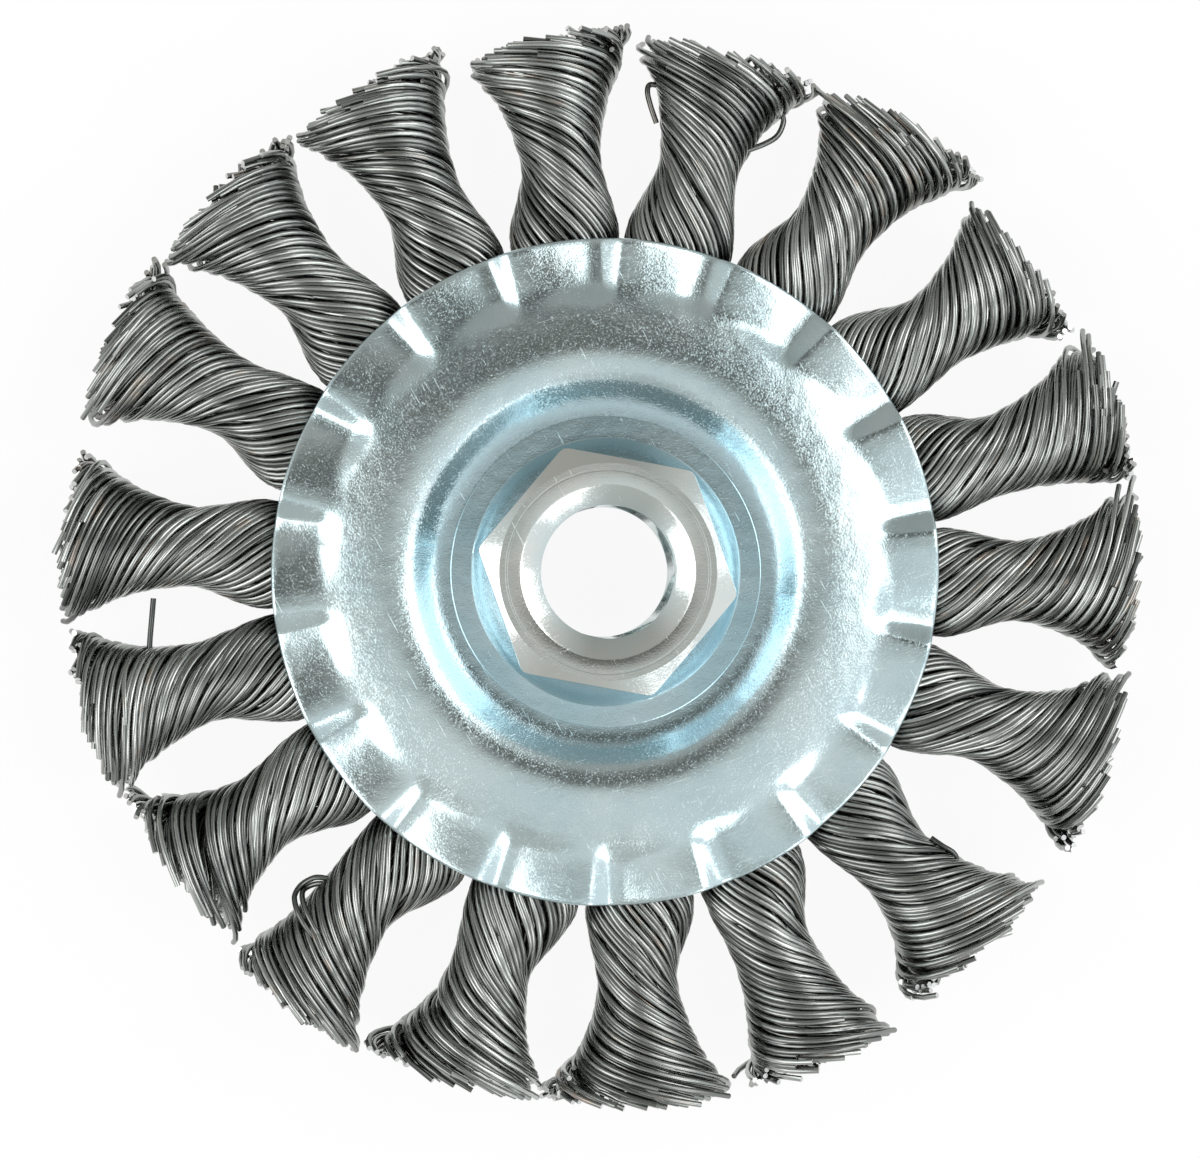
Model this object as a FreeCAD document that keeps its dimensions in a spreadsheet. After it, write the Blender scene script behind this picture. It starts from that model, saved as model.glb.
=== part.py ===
import FreeCAD, Part
import math
import os

import Sketcher

# Knotted wire wheel for an angle grinder, lying flat with its nut up.
# Millimetres. The origin is on the axis of the bore, in the plane that the wheel rests on.
# Two pressed plates hold eighteen twisted wire knots, each looped through a window of a steel ring.
# A nut with a spigot clamps the plates on a bush that keeps them apart.

# The driving sizes: name, value, meaning
SIZES = [
    ("wheel_diameter", 100.0, "across the mean tips of the knots"),
    ("knot_count", 18, "knots round the wheel"),
    ("first_knot_azimuth", 97.0, "degrees, direction of the first knot seen from the nut"),
    ("plate_diameter", 62.0, "pressed cover plates"),
    ("sheet_thickness", 1.0, "steel sheet of the plates"),
    ("cone_drop", 1.625, "fall of the plate from its crest to its rim"),
    ("crest_width", 0.8, "flat land along the crest, which the wheel rests on"),
    ("dish_run", 2.8, "radial length of the slope between seat and crest"),
    ("dish_room", 1.4, "flat of the seat beyond the bush"),
    ("dent_depth", 0.5, "pressed dents in the rim of the plates"),
    ("dent_length", 5.2, "radial length of a dent"),
    ("dent_width", 2.8, "width of a dent at the rim"),
    ("dent_turn", 7.3, "degrees from a knot to the next dent, clockwise seen from outside"),
    ("ring_thickness", 2.0, "disc that the bundles are looped through"),
    ("ring_web", 1.2, "steel left between a window and the edge of the ring"),
    ("window_offset", 2.5, "from the outer edge of the crest to the middle of a window"),
    ("bundle_width", 4.4, "untwisted bundle, along the rim"),
    ("bundle_height", 3.85, "untwisted bundle, along the axis"),
    ("link_overhang", 0.6, "bundle beyond the ring before the twist starts"),
    ("neck_share", 0.42, "where the twist is narrowest, from the plate rim to the tips"),
    ("neck_width", 7.9, "narrowest part of the twist, over its ridges"),
    ("neck_height", 7.6, "the same, along the axis"),
    ("root_share", 0.95, "share of the pitch that a knot fills where it leaves the plates"),
    ("tip_height", 12.4, "flared tips, along the axis"),
    ("strand_count", 8, "ridges round a knot"),
    ("strand_depth", 0.07, "depth of the grooves between ridges, as a share of the radius"),
    ("strand_fade", 0.6, "share of that depth that is gone at the tips"),
    ("knot_twist", 380.0, "degrees that the wires turn from the ring to the tips"),
    ("twist_growth", 1.6, "how much faster the wires turn at the tips than at the ring"),
    ("bush_wall", 6.0, "radial width of the bush between the plates"),
    ("bore_diameter", 12.2, "minor diameter of the M14 x 2 thread"),
    ("spigot_wall", 2.9, "wall of the spigot round the thread"),
    ("lip_reach", 2.2, "how far the flared end of the spigot grips the rear plate"),
    ("lip_thickness", 1.0, "thickness of the flared end"),
    ("lip_shelter", 0.4, "from the flared end to the plane that the wheel rests on"),
    ("flange_diameter", 28.8, "round flange under the nut"),
    ("flange_thickness", 1.0, "edge of the flange"),
    ("foot_width", 2.1, "slope between the flange and the hexagon, measured outwards"),
    ("foot_height", 3.0, "the same, measured upwards"),
    ("nut_across_flats", 21.0, "hexagon"),
    ("nut_height", 9.7, "from the plate to the top of the nut"),
    ("nut_turn", -10.3, "degrees, direction of a corner of the hexagon"),
    ("nut_land_diameter", 19.9, "flat top of the nut inside its chamfer"),
    ("chamfer_slope", 0.577, "fall of the corner chamfer and of the mouth for each mm, 30 degrees"),
    ("countersink", 1.8, "width of the chamfer at the mouth of the thread"),
    ("fit_clearance", 0.1, "between the spigot or the bush and what slides over it"),
    ("window_clearance", 0.1, "between a bundle and its window, each side"),
    ("ring_clearance", 0.05, "between a bundle and the faces of the ring"),
    ("plate_clearance", 0.125, "between the bundles and the plates"),
    ("tool_margin", 1.0, "how far cutting shapes stand out of what they cut"),
]

# How each knot stands, counted clockwise from the first, as shares of the pitch and clockwise positive:
# lean at the plate rim, lean at the neck, counter-clockwise corner and clockwise corner of the tip,
# then how far those two corners reach past the mean tip radius, in hundredths of the wheel diameter
KNOTS = [
    (0.01, 0.05, -0.39, 0.50, -0.9, 0.9),
    (-0.01, 0.01, -0.44, 0.53, 0.0, -0.6),
    (-0.02, 0.03, -0.43, 0.52, -0.4, 1.2),
    (-0.04, 0.05, -0.40, 0.49, -1.4, -0.9),
    (-0.05, 0.02, -0.47, 0.33, 0.3, 0.3),
    (-0.06, -0.09, -0.61, 0.37, 0.1, -1.0),
    (-0.06, -0.07, -0.60, 0.40, -0.4, 0.9),
    (0.01, 0.09, -0.35, 0.61, 0.2, -0.9),
    (0.04, 0.15, -0.25, 0.55, 0.5, -0.1),
    (0.04, 0.12, -0.32, 0.68, 0.3, -0.9),
    (0.04, 0.15, -0.29, 0.68, -0.6, -0.5),
    (0.04, 0.19, -0.25, 0.53, 0.3, -0.3),
    (0.03, 0.09, -0.38, 0.60, -1.3, -1.0),
    (0.02, 0.08, -0.37, 0.51, 0.1, -0.1),
    (0.00, 0.03, -0.38, 0.50, 0.6, 0.0),
    (0.02, 0.11, -0.34, 0.58, 0.6, 1.0),
    (0.01, 0.07, -0.36, 0.54, 0.4, 0.6),
    (0.01, 0.05, -0.40, 0.50, -0.4, 1.2),
]

# Facets that a knot is drawn with
RINGS_PER_KNOT = 14
BEND_STEPS = 5

# Shape of a knot: section of the twist where it leaves the bundle and the plates, how late its tips
# open and how late they slant
START_SHARE = 0.95
ROOT_SHARE = 0.93
FLARE_POWER = 1.6
SLANT_POWER = 4


class Size:
    """A number with the sheet expression that gives it, so that a formula is written once."""

    def __init__(self, value, text):
        self.value = value
        self.text = text

    def __add__(self, other):
        return Size(self.value + other.value, f"({self.text} + {other.text})")

    def __sub__(self, other):
        return Size(self.value - other.value, f"({self.text} - {other.text})")

    def __mul__(self, other):
        return Size(self.value * other.value, f"({self.text} * {other.text})")

    def __truediv__(self, other):
        return Size(self.value / other.value, f"({self.text} / {other.text})")

    def half(self):
        return Size(self.value / 2, f"({self.text} / 2)")

    def negative(self):
        return Size(-self.value, f"(-{self.text})")


doc = FreeCAD.newDocument("knotted_wire_wheel")
sheet = doc.addObject("Spreadsheet::Sheet", "Sizes")
for row, (name, value, meaning) in enumerate(SIZES, start=1):
    sheet.set(f"A{row}", name)
    sheet.set(f"B{row}", str(value))
    sheet.set(f"C{row}", meaning)
    sheet.setAlias(f"B{row}", name)
doc.recompute()


def size(name):
    return Size(float(sheet.get(name)), f"Sizes.{name}")


# Radii, from the bore outwards
bore_radius = size("bore_diameter").half()
spigot_radius = bore_radius + size("spigot_wall")
hole_radius = spigot_radius + size("fit_clearance")
bush_radius = spigot_radius + size("bush_wall")
dish_radius = bush_radius + size("dish_room")
crest_start = dish_radius + size("dish_run")
crest_end = crest_start + size("crest_width")
window_centre = crest_end + size("window_offset")
window_width = size("bundle_width") + size("window_clearance") + size("window_clearance")
ring_radius = window_centre + window_width.half() + size("ring_web")
link_end = ring_radius + size("link_overhang")
plate_radius = size("plate_diameter").half()
wheel_radius = size("wheel_diameter").half()

# Heights above the middle plane of the wheel
ring_top = size("ring_thickness").half()
link_top = ring_top + size("ring_clearance") + size("bundle_height")
cone_slope = size("cone_drop") / (plate_radius - crest_end)
crest_inside = link_top + size("plate_clearance") + cone_slope * (link_end - crest_end)
crest_height = crest_inside + size("sheet_thickness")
rim_height = crest_height - size("cone_drop")
dish_depth = size("lip_thickness") + size("lip_shelter")
seat_height = crest_height - dish_depth

# The wheel rests on the crest of its rear plate, so the middle plane is as high as a crest
middle_height = crest_height
pitch = 360.0 / size("knot_count").value


def origin_plane(body, role):
    return next(item for item in body.Origin.OriginFeatures if item.Role == role)


def new_body(name):
    body = doc.addObject("PartDesign::Body", name)
    body.Label = name
    return body


def new_sketch(body, name, role):
    sketch = body.newObject("Sketcher::SketchObject", name)
    sketch.AttachmentSupport = [(origin_plane(body, role), "")]
    sketch.MapMode = "FlatFace"
    return sketch


def drive(sketch, kind, *ends, by):
    """Adds a measured constraint and binds it to the sheet."""
    index = sketch.addConstraint(Sketcher.Constraint(kind, *ends, by.value))
    sketch.setExpression(f"Constraints[{index}]", by.text)


def draw_outline(sketch, corners):
    """Draws a closed outline. A corner with no first coordinate is on the axis."""
    spots = [FreeCAD.Vector(across.value if across else 0, up.value, 0) for across, up in corners]
    for index, spot in enumerate(spots):
        sketch.addGeometry(Part.LineSegment(spot, spots[(index + 1) % len(spots)]), False)
    for index, (across, up) in enumerate(corners):
        before = (index - 1) % len(corners)
        sketch.addConstraint(Sketcher.Constraint("Coincident", before, 2, index, 1))
        if across:
            drive(sketch, "DistanceX", -1, 1, index, 1, by=across)
        else:
            sketch.addConstraint(Sketcher.Constraint("PointOnObject", index, 1, -2))
        drive(sketch, "DistanceY", -1, 1, index, 1, by=up)


def draw_circle(sketch, radius):
    centre = FreeCAD.Vector(0, 0, 0)
    circle = sketch.addGeometry(Part.Circle(centre, FreeCAD.Vector(0, 0, 1), radius.value), False)
    sketch.addConstraint(Sketcher.Constraint("Coincident", circle, 3, -1, 1))
    drive(sketch, "Radius", circle, by=radius)


def turn_profile(body, kind, name, corners):
    """Revolves an outline of radii and heights about the axis of the body."""
    sketch = new_sketch(body, f"{name}_outline", "XZ_Plane")
    draw_outline(sketch, corners)
    feature = body.newObject(kind, name)
    feature.Profile = sketch
    feature.ReferenceAxis = (sketch, ["V_Axis"])
    feature.Angle = 360
    body.Tip = feature
    return feature


def repeat_round(body, name, features):
    """Repeats features once for each knot."""
    pattern = body.newObject("PartDesign::PolarPattern", name)
    pattern.Originals = features
    pattern.Axis = (origin_plane(body, "Z_Axis"), [""])
    pattern.Angle = 360
    pattern.setExpression("Occurrences", "Sizes.knot_count")
    body.Tip = pattern
    return pattern


def dent_section(body, name, reach, bottom):
    """A triangle that stands point down across the plate, at a distance from the axis."""
    sketch = new_sketch(body, name, "YZ_Plane")
    sketch.setExpression("AttachmentOffset.Base.z", reach.text)
    rise = size("dent_depth") + size("tool_margin")
    flank = size("dent_width").half() / size("dent_depth")
    wide = flank * rise
    draw_outline(sketch, [(wide.negative(), bottom + rise), (None, bottom), (wide, bottom + rise)])
    return sketch


def make_plate(name):
    """One pressed plate, drawn above the middle plane with its first dent along X."""
    body = new_body(name)
    sheet_thickness = size("sheet_thickness")
    crest_middle = crest_start + size("crest_width").half()
    profile = [
        (hole_radius, seat_height),
        (dish_radius, seat_height),
        (crest_start, crest_height),
        (crest_end, crest_height),
        (plate_radius, rim_height),
        (plate_radius, rim_height - sheet_thickness),
        (crest_middle, crest_inside),
        (dish_radius, seat_height - sheet_thickness),
        (hole_radius, seat_height - sheet_thickness),
    ]
    turn_profile(body, "PartDesign::Revolution", f"{name}_sheet", profile)
    # A dent is a crease that sinks from the face of the cone to its full depth at the rim
    start = plate_radius - size("dent_length")
    end = plate_radius + size("tool_margin")
    fall = size("dent_depth") * (end - start) / size("dent_length")
    first = dent_section(
        body, f"{name}_dent_start", start, crest_height - cone_slope * (start - crest_end)
    )
    last = dent_section(
        body, f"{name}_dent_end", end, crest_height - cone_slope * (end - crest_end) - fall
    )
    dent = body.newObject("PartDesign::SubtractiveLoft", f"{name}_dent")
    dent.Profile = first
    dent.Sections = [last]
    dent.Ruled = True
    body.Tip = dent
    repeat_round(body, f"{name}_dents", [dent])
    return body


def make_disc(name, outside, inside, thickness):
    """A flat ring that stands on the XY plane."""
    body = new_body(name)
    sketch = new_sketch(body, f"{name}_outline", "XY_Plane")
    draw_circle(sketch, outside)
    draw_circle(sketch, inside)
    disc = body.newObject("PartDesign::Pad", f"{name}_disc")
    disc.Profile = sketch
    disc.setExpression("Length", thickness.text)
    body.Tip = disc
    return body


def make_knot_ring():
    """The punched disc, with one window for each bundle and the first one along X."""
    inside = bush_radius + size("fit_clearance")
    body = make_disc("knot_ring", ring_radius, inside, size("ring_thickness"))
    sketch = new_sketch(body, "window_outline", "XY_Plane")
    start = window_centre - window_width.half()
    end = window_centre + window_width.half()
    side = window_width.half()
    draw_outline(
        sketch,
        [(start, side.negative()), (end, side.negative()), (end, side), (start, side)],
    )
    window = body.newObject("PartDesign::Pocket", "window")
    window.Profile = sketch
    window.Type = "ThroughAll"
    window.Reversed = True
    body.Tip = window
    repeat_round(body, "windows", [window])
    return body


def draw_hexagon(sketch, across_flats):
    """A regular hexagon with a corner on the X axis."""
    corner_radius = Size(across_flats.value / math.sqrt(3), f"({across_flats.text} / sqrt(3))")
    turns = [math.radians(60 * index) for index in range(6)]
    spots = [
        FreeCAD.Vector(corner_radius.value * math.cos(turn), corner_radius.value * math.sin(turn), 0)
        for turn in turns
    ]
    for index, spot in enumerate(spots):
        sketch.addGeometry(Part.LineSegment(spot, spots[(index + 1) % 6]), False)
    centre = FreeCAD.Vector(0, 0, 0)
    guide = sketch.addGeometry(
        Part.Circle(centre, FreeCAD.Vector(0, 0, 1), corner_radius.value), True
    )
    sketch.addConstraint(Sketcher.Constraint("Coincident", guide, 3, -1, 1))
    drive(sketch, "Radius", guide, by=corner_radius)
    for index in range(6):
        sketch.addConstraint(Sketcher.Constraint("Coincident", index, 2, (index + 1) % 6, 1))
        sketch.addConstraint(Sketcher.Constraint("PointOnObject", index, 1, guide))
    for index in range(1, 6):
        sketch.addConstraint(Sketcher.Constraint("Equal", 0, index))
    sketch.addConstraint(Sketcher.Constraint("PointOnObject", 0, 1, -1))


def make_hub():
    """Nut, flange and spigot in one, drawn from the plane that the wheel rests on."""
    body = new_body("threaded_hub")
    bottom = size("lip_shelter")
    rear_seat = dish_depth
    front_seat = middle_height + seat_height
    flange_top = front_seat + size("flange_thickness")
    nut_top = front_seat + size("nut_height")
    flange_radius = size("flange_diameter").half()
    lip_radius = spigot_radius + size("lip_reach")
    # The slope at the foot of the hexagon ends inside the metal, under the flats
    flat_radius = size("nut_across_flats").half()
    foot_inside = flat_radius - size("fit_clearance")
    foot_outside = foot_inside + size("foot_width")
    foot_top = flange_top + size("foot_height")
    turned = [
        (None, bottom),
        (lip_radius, bottom),
        (lip_radius, rear_seat),
        (spigot_radius, rear_seat),
        (spigot_radius, front_seat),
        (flange_radius, front_seat),
        (flange_radius, flange_top),
        (foot_outside, flange_top),
        (foot_inside, foot_top),
        (None, foot_top),
    ]
    turn_profile(body, "PartDesign::Revolution", "turned_body", turned)
    sketch = new_sketch(body, "hexagon_outline", "XY_Plane")
    sketch.setExpression("AttachmentOffset.Base.z", flange_top.text)
    draw_hexagon(sketch, size("nut_across_flats"))
    hexagon = body.newObject("PartDesign::Pad", "hexagon")
    hexagon.Profile = sketch
    hexagon.setExpression("Length", (nut_top - flange_top).text)
    body.Tip = hexagon
    land_radius = size("nut_land_diameter").half()
    chamfer_end = size("nut_across_flats")
    chamfer_fall = size("chamfer_slope") * (chamfer_end - land_radius)
    corner_cut = [
        (land_radius, nut_top),
        (chamfer_end, nut_top - chamfer_fall),
        (chamfer_end, nut_top + size("tool_margin")),
        (land_radius, nut_top + size("tool_margin")),
    ]
    turn_profile(body, "PartDesign::Groove", "corner_chamfer", corner_cut)
    sketch = new_sketch(body, "bore_outline", "XY_Plane")
    draw_circle(sketch, bore_radius)
    bore = body.newObject("PartDesign::Pocket", "bore")
    bore.Profile = sketch
    bore.Type = "ThroughAll"
    bore.Reversed = True
    body.Tip = bore
    mouth = size("countersink")
    mouth_depth = size("chamfer_slope") * mouth
    front_mouth = [
        (bore_radius - mouth, nut_top),
        (bore_radius - mouth, nut_top - mouth_depth),
        (bore_radius, nut_top - mouth_depth),
        (bore_radius + mouth, nut_top),
    ]
    turn_profile(body, "PartDesign::Groove", "front_mouth", front_mouth)
    return body


def tip_radius(reach):
    """Radius that a worn tip ends at, from its reach in hundredths of the wheel diameter."""
    return wheel_radius.value + reach / 100 * size("wheel_diameter").value


def knot_stations(row):
    """Radius, half angle, middle angle and half height of a knot: ring, plate rim, neck and tip."""
    rim_lean, neck_lean, low, high, low_reach, high_reach = row
    start = link_end.value
    rim = plate_radius.value
    neck = rim + size("neck_share").value * (wheel_radius.value - rim)
    tip = tip_radius((low_reach + high_reach) / 2)
    rim_half = (rim_height - size("sheet_thickness") - size("plate_clearance")).value
    start_width = START_SHARE * size("bundle_width").value / 2
    return [
        (start, math.degrees(start_width / start), 0.0, START_SHARE * link_top.value),
        (rim, size("root_share").value * pitch / 2, rim_lean * pitch, ROOT_SHARE * rim_half),
        (
            neck,
            math.degrees(size("neck_width").value / 2 / neck),
            neck_lean * pitch,
            size("neck_height").value / 2,
        ),
        (tip, (high - low) / 2 * pitch, (high + low) / 2 * pitch, size("tip_height").value / 2),
    ]


def knot_section(stations, radius):
    """Half angle, middle angle and half height between two stations."""
    last = len(stations) - 2
    index = next((i for i in range(last) if radius <= stations[i + 1][0]), last)
    before, after = stations[index], stations[index + 1]
    share = min(1.0, (radius - before[0]) / (after[0] - before[0]))
    if index == last:
        # The tips open slowly at first, like the bell of a trumpet
        share = share**FLARE_POWER
    else:
        share = share * share * (3 - 2 * share)
    return [low + (high - low) * share for low, high in zip(before[1:], after[1:])]


def knot_rings(row):
    """The rings of points that a twisted knot is drawn through, from the bundle to the tips."""
    stations = knot_stations(row)
    low_reach, high_reach = row[4:]
    # The tips are worn to a line between their two corners
    tip_slant = (tip_radius(low_reach) - tip_radius(high_reach)) / 2
    start = stations[0][0]
    tip = stations[-1][0]
    points_round = int(2 * size("strand_count").value)
    growth = size("twist_growth").value
    rings = []
    for step in range(RINGS_PER_KNOT + 1):
        turned = step / RINGS_PER_KNOT
        # The wires turn faster towards the tips, so rings of equal turn are ever closer together
        share = turned * (1 + growth * (1 - turned / 2)) / (1 + growth / 2)
        radius = start + share * (tip - start)
        half_angle, middle, half_height = knot_section(stations, radius)
        twist = math.radians(size("knot_twist").value * turned)
        groove = size("strand_depth").value * (1 - size("strand_fade").value * turned)
        slant = tip_slant * share**SLANT_POWER
        ring = []
        for index in range(points_round):
            turn = 2 * math.pi * index / points_round - twist
            depth = 1 - groove * (index % 2)
            across = math.cos(turn) * depth
            azimuth = math.radians(half_angle * across - middle)
            height = half_height * math.sin(turn) * depth
            if step == 0:
                # The first ring is flat, against the end of the bundle
                ring.append(FreeCAD.Vector(start, start * azimuth, height))
                continue
            reach = radius + slant * across
            ring.append(FreeCAD.Vector(reach * math.cos(azimuth), reach * math.sin(azimuth), height))
        rings.append(ring)
    return rings


def triangle(first, second, third):
    return Part.Face(Part.makePolygon([first, second, third, first]))


def solid_through(rings):
    """A solid with flat facets through rings of points, closed at both ends."""
    faces = []
    for ring, following in zip(rings, rings[1:]):
        for index, corner in enumerate(ring):
            beside = (index + 1) % len(ring)
            faces.append(triangle(corner, ring[beside], following[index]))
            faces.append(triangle(ring[beside], following[beside], following[index]))
    for ring in (rings[0], rings[-1]):
        centre = FreeCAD.Vector(0, 0, 0)
        for corner in ring:
            centre += corner
        centre /= len(ring)
        for index, corner in enumerate(ring):
            faces.append(triangle(centre, corner, ring[(index + 1) % len(ring)]))
    shell = Part.makeShell(faces)
    solid = Part.makeSolid(shell)
    if solid.Volume < 0:
        solid.reverse()
    return solid


def bundle_loop():
    """The untwisted bundle: folded through its window, with a leg on each side of the ring."""
    bend_centre = window_centre.value - size("bundle_width").value / 2 + link_top.value
    side = size("bundle_width").value / 2
    slot_start = window_centre.value + side
    slot_top = ring_top.value + size("ring_clearance").value
    corners = [(link_end.value, link_top.value)]
    for step in range(BEND_STEPS + 1):
        turn = math.radians(90 + 180 * step / BEND_STEPS)
        corners.append(
            (
                bend_centre + link_top.value * math.cos(turn),
                link_top.value * math.sin(turn),
            )
        )
    corners.append((link_end.value, -link_top.value))
    # The slot that straddles the web of the ring
    slot_end = ring_radius.value + size("ring_clearance").value
    outline = [FreeCAD.Vector(across, -side, up) for across, up in corners]
    width = FreeCAD.Vector(0, size("bundle_width").value, 0)
    loop = Part.Face(Part.makePolygon(outline + outline[:1])).extrude(width)
    cut_side = side + size("tool_margin").value
    slot = Part.makeBox(
        slot_end - slot_start,
        cut_side + cut_side,
        slot_top + slot_top,
        FreeCAD.Vector(slot_start, -cut_side, -slot_top),
    )
    return loop.cut(slot)


def make_knot(number, row):
    """One knot, drawn along X about the middle plane."""
    name = f"knot_{number + 1:02d}"
    knot = doc.addObject("Part::Feature", name)
    knot.Label = name
    shape = solid_through(knot_rings(row)).fuse(bundle_loop())
    knot.Shape = shape.Solids[0] if len(shape.Solids) == 1 else shape
    return knot


def place(piece, azimuth, height, turned_over=False):
    """Stands a piece at its height and turns it about the axis of the wheel."""
    turn = FreeCAD.Rotation(FreeCAD.Vector(0, 0, 1), azimuth)
    if turned_over:
        turn = turn * FreeCAD.Rotation(FreeCAD.Vector(1, 0, 0), 180)
    piece.Placement = FreeCAD.Placement(FreeCAD.Vector(0, 0, height), turn)


first_azimuth = size("first_knot_azimuth").value
dent_turn = size("dent_turn").value
pieces = []

front_plate = make_plate("front_plate")
place(front_plate, first_azimuth - dent_turn, middle_height.value)
pieces.append(front_plate)

rear_plate = make_plate("rear_plate")
place(rear_plate, first_azimuth + dent_turn, middle_height.value, turned_over=True)
pieces.append(rear_plate)

threaded_hub = make_hub()
place(threaded_hub, size("nut_turn").value, 0)
pieces.append(threaded_hub)

knot_ring = make_knot_ring()
place(knot_ring, first_azimuth, middle_height.value - ring_top.value)
pieces.append(knot_ring)

bush_half = seat_height - size("sheet_thickness")
centre_bush = make_disc("centre_bush", bush_radius, hole_radius, bush_half + bush_half)
place(centre_bush, 0, middle_height.value - bush_half.value)
pieces.append(centre_bush)

for number in range(int(size("knot_count").value)):
    knot = make_knot(number, KNOTS[number % len(KNOTS)])
    place(knot, first_azimuth - number * pitch, middle_height.value)
    pieces.append(knot)

doc.recompute()

for item in doc.Objects:
    if "Invalid" in item.State or "Error" in item.State:
        raise RuntimeError(f"{item.Label} failed: {item.State}")
for piece in pieces:
    if piece.Shape.isNull() or not piece.Shape.isValid():
        raise RuntimeError(f"{piece.Label} has no valid shape")

os.makedirs("parts", exist_ok=True)
for piece in pieces:
    piece.Shape.exportStep(f"parts/{piece.Label}.step")
    print(piece.Label, len(piece.Shape.Solids), "solid,", round(piece.Shape.Volume, 1), "mm3")
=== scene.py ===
# %% [markdown]
# # A knotted wire wheel for an angle grinder
#
# The wheel has eighteen twisted bundles of steel wire, called knots. Two pressed and zinc
# plated steel covers hold them, and a hex nut with a round flange clamps the covers.
# A solid model of the wheel exists already, with every piece in its place and at its size.
# This lesson loads it as a fixed frame and dresses it: real wires instead of solid knots,
# covers with their pressed waves, a nut with its thread, and a finish for each metal.

# %% Load the solid model
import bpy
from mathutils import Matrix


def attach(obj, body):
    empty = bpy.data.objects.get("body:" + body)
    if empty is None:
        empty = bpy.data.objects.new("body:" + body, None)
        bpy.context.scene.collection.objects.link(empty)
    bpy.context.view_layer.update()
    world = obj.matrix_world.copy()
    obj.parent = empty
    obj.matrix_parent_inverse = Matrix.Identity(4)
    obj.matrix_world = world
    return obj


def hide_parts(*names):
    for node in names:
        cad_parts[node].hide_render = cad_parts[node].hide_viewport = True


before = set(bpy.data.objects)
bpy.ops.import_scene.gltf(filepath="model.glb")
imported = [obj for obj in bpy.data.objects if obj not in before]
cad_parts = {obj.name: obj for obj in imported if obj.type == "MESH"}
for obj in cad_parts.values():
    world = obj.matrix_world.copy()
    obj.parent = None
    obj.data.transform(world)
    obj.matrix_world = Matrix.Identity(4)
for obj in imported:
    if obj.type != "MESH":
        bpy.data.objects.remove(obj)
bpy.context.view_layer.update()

print("solid pieces:", len(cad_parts))

# %% [markdown]
# ## Units and axes
#
# Blender counts in metres, but a wheel like this is drawn in millimetres. All shapes below
# are worked out in millimetres and made small once, when a mesh is built. The axis of the
# bore is Z and the wheel lies on the floor at Z = 0 with its nut up, so every piece can be
# written down as a radius, an angle and a height.

# %% Units and the main sizes
import math

import bpy
import numpy as np
from mathutils import Matrix, Vector

MM = 0.001
MIDDLE = 7.0
KNOT_COUNT = 18
PITCH = 360 / KNOT_COUNT
FIRST_KNOT = 97.0

print("the middle plane is", MIDDLE, "mm up, knots are", PITCH, "degrees apart")

# %% [markdown]
# ## From points to a piece
#
# Most pieces here are grids of points: rows along a profile and columns round the axis.
# A grid that closes on itself in both directions is a watertight skin. NumPy moves all the
# points of a grid at once, which is far faster than a loop over vertices in Python.

# %% Make a piece of the wheel from points and faces
def make_piece(name, points, faces, materials, node):
    """A smooth mesh from points in millimetres. It takes the place of one solid of the frame."""
    mesh = bpy.data.meshes.new(name)
    mesh.from_pydata((np.asarray(points) * MM).tolist(), [], np.asarray(faces).tolist())
    mesh.polygons.foreach_set("use_smooth", np.ones(len(mesh.polygons), dtype=bool))
    for material in materials:
        mesh.materials.append(material)
    piece = bpy.data.objects.new(name, mesh)
    bpy.context.scene.collection.objects.link(piece)
    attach(piece, "root")
    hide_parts(node)
    return piece


def closed_grid_faces(rows, columns):
    row, column = np.meshgrid(np.arange(rows), np.arange(columns), indexing="ij")
    next_row = (row + 1) % rows
    next_column = (column + 1) % columns
    corners = [
        row * columns + column,
        row * columns + next_column,
        next_row * columns + next_column,
        next_row * columns + column,
    ]
    return np.stack([corner.ravel() for corner in corners], axis=1)


print("a 3 x 4 closed grid has", len(closed_grid_faces(3, 4)), "faces")

# %% [markdown]
# Three more helpers serve several pieces. One turns radius, angle and height into points, one
# turns rows of points about the bore, and one goes from 0 to 1 without a corner.

# %% Points round the bore
def polar_points(radius, azimuth, height):
    radius, azimuth, height = np.broadcast_arrays(radius, azimuth, height)
    points = [radius * np.cos(azimuth), radius * np.sin(azimuth), height]
    return np.stack([part.ravel() for part in points], axis=1)


def turn_about_bore(degrees):
    angle = math.radians(degrees)
    return np.array([
        [math.cos(angle), math.sin(angle), 0],
        [-math.sin(angle), math.cos(angle), 0],
        [0, 0, 1],
    ])


def smooth_step(value):
    value = np.clip(value, 0.0, 1.0)
    return value * value * (3 - 2 * value)


print("a point turned to the first knot:", np.round([1, 0, 0] @ turn_about_bore(FIRST_KNOT), 3))

# %% [markdown]
# ## Helpers for materials
#
# A material is a small network of nodes. One helper adds a node with its settings and fills
# in its sockets, each with a plain value or with a link from another node. Two more start a
# group and a material. They keep the cells below short.

# %% Nodes, groups and materials
def fill_sockets(tree, node, sockets):
    """Sets each socket, or links it if it is given the socket of another node."""
    for name, source in sockets.items():
        if isinstance(source, bpy.types.NodeSocket):
            tree.links.new(source, node.inputs[name])
        else:
            node.inputs[name].default_value = source


def add_node(tree, kind, sockets=None, **settings):
    node = tree.nodes.new(kind)
    for name, value in settings.items():
        setattr(node, name, value)
    fill_sockets(tree, node, sockets or {})
    return node


def new_group(name, inputs, outputs):
    group = bpy.data.node_groups.new(name, "ShaderNodeTree")
    for label, kind, value in inputs:
        socket = group.interface.new_socket(label, in_out="INPUT", socket_type=kind)
        if value is not None:
            socket.default_value = value
    for label, kind in outputs:
        group.interface.new_socket(label, in_out="OUTPUT", socket_type=kind)
    return group, group.nodes.new("NodeGroupInput"), group.nodes.new("NodeGroupOutput")


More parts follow.
